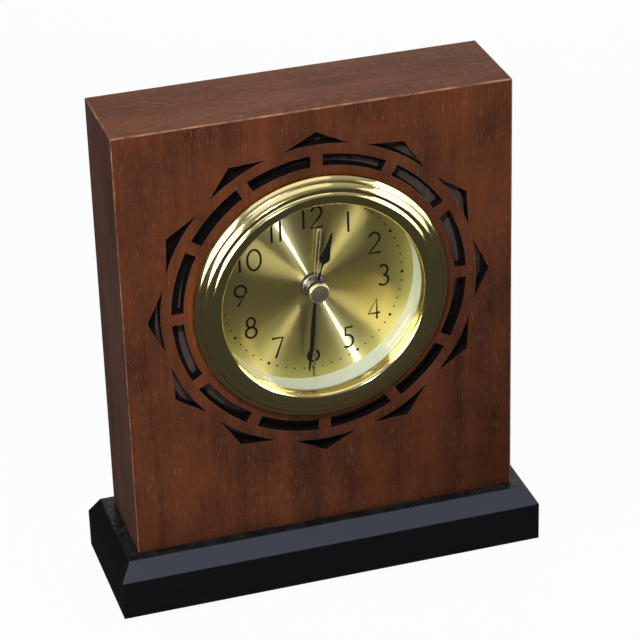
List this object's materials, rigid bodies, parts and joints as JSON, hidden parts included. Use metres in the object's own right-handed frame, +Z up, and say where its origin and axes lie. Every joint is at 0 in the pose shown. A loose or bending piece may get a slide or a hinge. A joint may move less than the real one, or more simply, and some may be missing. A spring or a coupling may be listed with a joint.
{
  "type": "mantel alarm clock",
  "caption": "Mantel alarm clock: square-topped veneered case with a pierced ring, black bevelled plinth, and a round brass-rimmed quartz alarm insert.",
  "frame": {"origin": "under the middle of the plinth, on the surface that the clock stands on", "axes": "+X to the right as seen from the front, -Y the way the dial faces, +Z up"},
  "size_m": [0.1452, 0.0484, 0.1688],
  "materials": {
    "veneer": "satin lacquered mahogany veneer",
    "fibreboard": "plain sawn board",
    "dark_board": "dark stained board",
    "black_wood": "satin black lacquer",
    "felt": "felt",
    "screw_steel": "plated",
    "polished_brass": "polished",
    "clear_lens": "clear",
    "white_plastic": "matt white",
    "dial_brass": "circular brushed",
    "black_plastic": "moulded",
    "black_rubber": "rubber",
    "movement_plastic": "moulded",
    "gear_plastic": "moulded acetal",
    "soft_iron": "stamped",
    "copper_wire": "enamelled copper wire",
    "board": "printed board",
    "sheet_brass": "sheet",
    "contact_steel": "nickel plated",
    "battery_jacket": "plain jacket",
    "hand_black": "black",
    "hand_brass": "plated",
    "magnet": "sintered"
  },
  "bodies": {
    "root": {"front_panel": "veneer", "back_panel": "veneer", "left_panel": "veneer", "right_panel": "veneer", "top_panel": "veneer", "bottom_panel": "fibreboard", "fret_backer": "dark_board", "corner_blocks": "fibreboard", "base_cleat": "fibreboard", "base_plinth": "black_wood", "base_felt": "felt", "base_screws": "screw_steel"},
    "insert": {"bezel": "polished_brass", "lens": "clear_lens", "dial_surround": "white_plastic", "dial": "dial_brass", "dial_washer": "black_plastic", "insert_can": "black_plastic", "grip_band": "black_rubber", "front_plate": "movement_plastic", "middle_plate_frame": "movement_plastic", "rear_plate_frame": "movement_plastic", "plate_screws": "screw_steel", "stator": "soft_iron", "coil_core": "soft_iron", "coil_bobbin": "movement_plastic", "coil_winding": "copper_wire", "circuit_board": "board", "quartz_crystal": "screw_steel", "clock_chip": "black_plastic", "buzzer": "sheet_brass", "battery_tray": "black_plastic", "contact_plus": "contact_steel", "contact_minus": "contact_steel", "battery": "battery_jacket", "rear_cover": "black_plastic", "cover_screws": "screw_steel", "switch_contact": "contact_steel"},
    "battery_door": {"battery_door": "black_plastic"},
    "alarm_switch": {"alarm_switch": "black_plastic"},
    "time_setter": {"time_knob": "black_plastic", "motion_wheel": "gear_plastic"},
    "alarm_setter": {"alarm_knob": "black_plastic", "alarm_shaft": "gear_plastic"},
    "second_hand": {"second_hand": "hand_brass", "hand_cap": "hand_brass", "second_wheel": "gear_plastic"},
    "minute_hand": {"minute_hand": "hand_black", "minute_wheel": "gear_plastic"},
    "hour_hand": {"hour_hand": "hand_black", "hour_wheel": "gear_plastic"},
    "alarm_hand": {"alarm_hand": "hand_brass", "alarm_wheel": "gear_plastic"},
    "third_wheel": {"third_wheel": "gear_plastic"},
    "intermediate_wheel": {"intermediate_wheel": "gear_plastic"},
    "rotor": {"rotor": "gear_plastic", "rotor_magnet": "magnet"}
  },
  "joints": [
    {"name": "insert_pull", "type": "slide", "parent": "root", "child": "insert", "axis": [0, -1, 0], "range_m": [0, 0.045]},
    {"name": "battery_door_slide", "type": "slide", "parent": "insert", "child": "battery_door", "axis": [1, 0, 0], "range_m": [0, 0.012]},
    {"name": "alarm_switch_slide", "type": "slide", "parent": "insert", "child": "alarm_switch", "axis": [1, 0, 0], "range_m": [0, 0.004]},
    {"name": "second_hand_turn", "type": "hinge", "parent": "insert", "child": "second_hand", "pos_m": [0, 0, 0.1038], "axis": [0, 1, 0], "continuous": true},
    {"name": "minute_hand_turn", "type": "hinge", "parent": "insert", "child": "minute_hand", "pos_m": [0, 0, 0.1038], "axis": [0, 1, 0], "continuous": true},
    {"name": "hour_hand_turn", "type": "hinge", "parent": "insert", "child": "hour_hand", "pos_m": [0, 0, 0.1038], "axis": [0, 1, 0], "continuous": true},
    {"name": "time_knob_turn", "type": "hinge", "parent": "insert", "child": "time_setter", "pos_m": [0.0072, 0, 0.1038], "axis": [0, 1, 0], "continuous": true},
    {"name": "third_wheel_turn", "type": "hinge", "parent": "insert", "child": "third_wheel", "pos_m": [0, 0, 0.09705], "axis": [0, 1, 0], "continuous": true},
    {"name": "intermediate_wheel_turn", "type": "hinge", "parent": "insert", "child": "intermediate_wheel", "pos_m": [0.003, 0, 0.109], "axis": [0, 1, 0], "continuous": true},
    {"name": "rotor_turn", "type": "hinge", "parent": "insert", "child": "rotor", "pos_m": [0.00038, 0, 0.11354], "axis": [0, 1, 0], "continuous": true},
    {"name": "alarm_knob_turn", "type": "hinge", "parent": "insert", "child": "alarm_setter", "pos_m": [-0.0078, 0, 0.1038], "axis": [0, 1, 0], "continuous": true},
    {"name": "alarm_hand_turn", "type": "hinge", "parent": "insert", "child": "alarm_hand", "pos_m": [0, 0, 0.1038], "axis": [0, 1, 0], "continuous": true}
  ],
  "couplings": [
    {"joint": "minute_hand_turn", "follows": "second_hand_turn", "ratio": 0.016667},
    {"joint": "hour_hand_turn", "follows": "second_hand_turn", "ratio": 0.0013889},
    {"joint": "time_knob_turn", "follows": "second_hand_turn", "ratio": -0.0055556},
    {"joint": "third_wheel_turn", "follows": "second_hand_turn", "ratio": -0.125},
    {"joint": "intermediate_wheel_turn", "follows": "second_hand_turn", "ratio": -5},
    {"joint": "rotor_turn", "follows": "second_hand_turn", "ratio": 30},
    {"joint": "alarm_hand_turn", "follows": "alarm_knob_turn", "ratio": -0.3}
  ]
}
